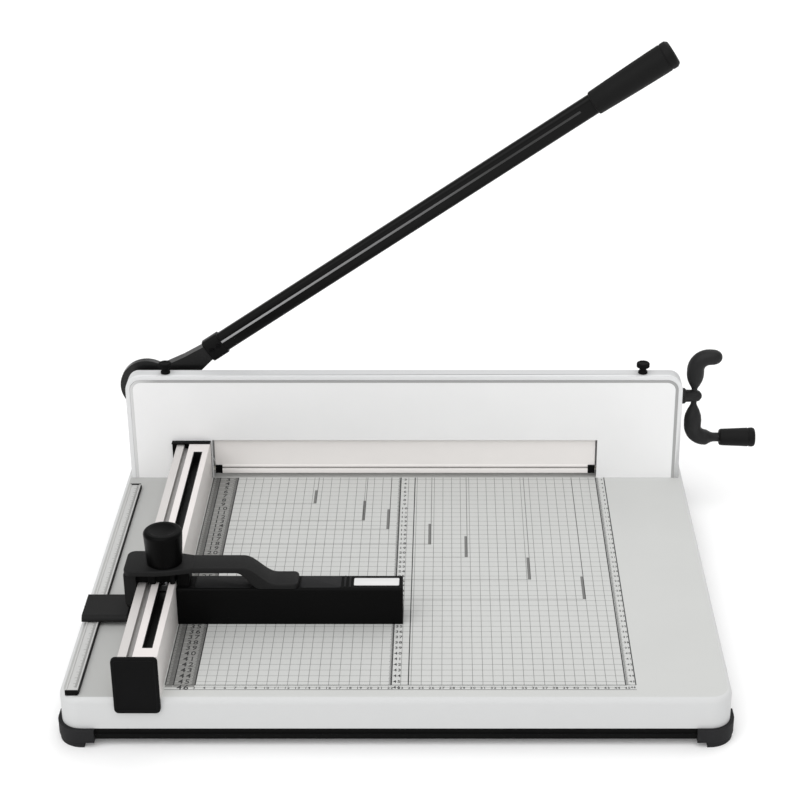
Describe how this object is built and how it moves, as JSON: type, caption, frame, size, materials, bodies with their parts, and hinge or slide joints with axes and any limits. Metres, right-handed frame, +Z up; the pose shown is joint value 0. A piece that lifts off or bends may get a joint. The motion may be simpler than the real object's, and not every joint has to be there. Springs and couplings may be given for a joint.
{
  "type": "paper cutter",
  "caption": "Desk lever guillotine for A3 sheets: flat table with a sliding back gauge, a crank-driven clamp in the blade housing and a long cutting lever.",
  "frame": {"origin": "on the floor, under the middle of the bounding box", "axes": "+X along the blade from the lever pivot to the crank, +Y from the operator to the back, +Z up"},
  "size_m": [0.7444, 0.542, 0.5584],
  "materials": {
    "table_grey": "light grey powder coat on a cast table",
    "pan_black": "black moulded pan",
    "bumper_grey": "dark grey moulded corner bumper",
    "rail_alu": "satin anodised extrusion",
    "black_plastic": "black fine-grained plastic",
    "plate_white": "white powder coat",
    "cover_white": "white powder coat on a cast cover",
    "frame_grey": "plain machined frame",
    "rear_steel": "grey painted steel plate",
    "clamp_white": "white coated clamp plate",
    "steel": "machined steel",
    "blade_steel": "ground tool steel",
    "bronze": "sintered bronze",
    "stick_white": "pale plastic cutting stick",
    "lever_black": "gloss black paint",
    "grip_black": "black moulded grip",
    "crank_black": "matte black paint on a casting",
    "saddle_grey": "dark grey moulding"
  },
  "bodies": {
    "base": {"table": "table_grey", "base_pan": "pan_black", "foot_front_left": "bumper_grey", "foot_front_right": "bumper_grey", "foot_rear_left": "bumper_grey", "foot_rear_right": "bumper_grey", "foot_screws": "steel", "guide_rail": "rail_alu", "rail_front_cap": "black_plastic", "rail_rear_cap": "black_plastic", "ruler_strip": "rail_alu", "strip_plugs": "black_plastic", "front_plate": "plate_white", "blade_cover": "cover_white", "frame_post_left": "frame_grey", "frame_post_right": "frame_grey", "way_left": "frame_grey", "way_right": "frame_grey", "rear_plate": "rear_steel", "top_beam": "frame_grey", "cutting_stick": "stick_white", "pivot_bolt": "steel", "pivot_washer": "steel", "screw_bush_left": "bronze", "screw_bush_right": "bronze"},
    "lever": {"lever_hub": "lever_black", "lever_tube": "lever_black", "lever_grip": "grip_black", "lever_rivets": "steel", "pivot_bush": "bronze", "drive_pin": "steel", "drive_roller": "bronze"},
    "blade": {"blade_carrier": "frame_grey", "blade": "blade_steel", "blade_screws": "steel"},
    "crank": {"clamp_screw": "steel", "crank_arms": "crank_black", "crank_cap": "crank_black", "grip_spindle": "steel"},
    "crank_grip": {"crank_grip": "black_plastic"},
    "clamp": {"clamp_plate": "clamp_white", "clamp_foot": "clamp_white", "clamp_end_blocks": "black_plastic", "clamp_pins": "steel"},
    "nut_left": {"clamp_nut_left": "bronze"},
    "nut_right": {"clamp_nut_right": "bronze"},
    "gauge": {"gauge_saddle": "saddle_grey", "gauge_fence": "black_plastic", "gauge_handle": "black_plastic", "gauge_pointer": "black_plastic", "gauge_bolt": "steel"},
    "gauge_knob": {"gauge_knob": "black_plastic"},
    "thumb_left": {"thumb_screw_left": "black_plastic"},
    "thumb_right": {"thumb_screw_right": "black_plastic"}
  },
  "joints": [
    {"name": "lever_swing", "type": "hinge", "parent": "base", "child": "lever", "pos_m": [-0.33193, 0.2466, 0.141], "axis": [0, 1, 0], "range_deg": [0, 32.5]},
    {"name": "blade_slide", "type": "slide", "parent": "base", "child": "blade", "axis": [0.4259, 0, -0.9048], "range_m": [0, 0.05645]},
    {"name": "crank_turn", "type": "hinge", "parent": "base", "child": "crank", "pos_m": [0.29837, 0.2065, 0.1516], "axis": [1, 0, 0], "range_deg": [0, 1080]},
    {"name": "crank_grip_spin", "type": "hinge", "parent": "crank", "child": "crank_grip", "pos_m": [0.35057, 0.2065, 0.0981], "axis": [1, 0, 0], "continuous": true},
    {"name": "clamp_lift", "type": "slide", "parent": "base", "child": "clamp", "axis": [0, 0, 1], "range_m": [0, 0.0421]},
    {"name": "nut_left_slide", "type": "slide", "parent": "base", "child": "nut_left", "axis": [-1, 0, 0], "range_m": [0, 0.0421]},
    {"name": "nut_right_slide", "type": "slide", "parent": "base", "child": "nut_right", "axis": [1, 0, 0], "range_m": [0, 0.0421]},
    {"name": "gauge_slide", "type": "slide", "parent": "base", "child": "gauge", "axis": [0, 1, 0], "range_m": [-0.11, 0.265]},
    {"name": "gauge_knob_turn", "type": "hinge", "parent": "gauge", "child": "gauge_knob", "pos_m": [-0.27443, -0.118, 0.138], "axis": [0, 0, 1], "range_deg": [0, 180]},
    {"name": "thumb_left_turn", "type": "hinge", "parent": "base", "child": "thumb_left", "pos_m": [-0.31143, 0.197, 0.192], "axis": [0, 0, 1], "range_deg": [0, 360]},
    {"name": "thumb_right_turn", "type": "hinge", "parent": "base", "child": "thumb_right", "pos_m": [0.23657, 0.197, 0.192], "axis": [0, 0, 1], "range_deg": [0, 360]}
  ],
  "couplings": [
    {"joint": "blade_slide", "follows": "lever_swing", "m_per_rad": 0.099348},
    {"joint": "clamp_lift", "follows": "crank_turn", "m_per_rad": 0.0022282},
    {"joint": "nut_left_slide", "follows": "crank_turn", "m_per_rad": 0.0022282},
    {"joint": "nut_right_slide", "follows": "crank_turn", "m_per_rad": 0.0022282}
  ]
}
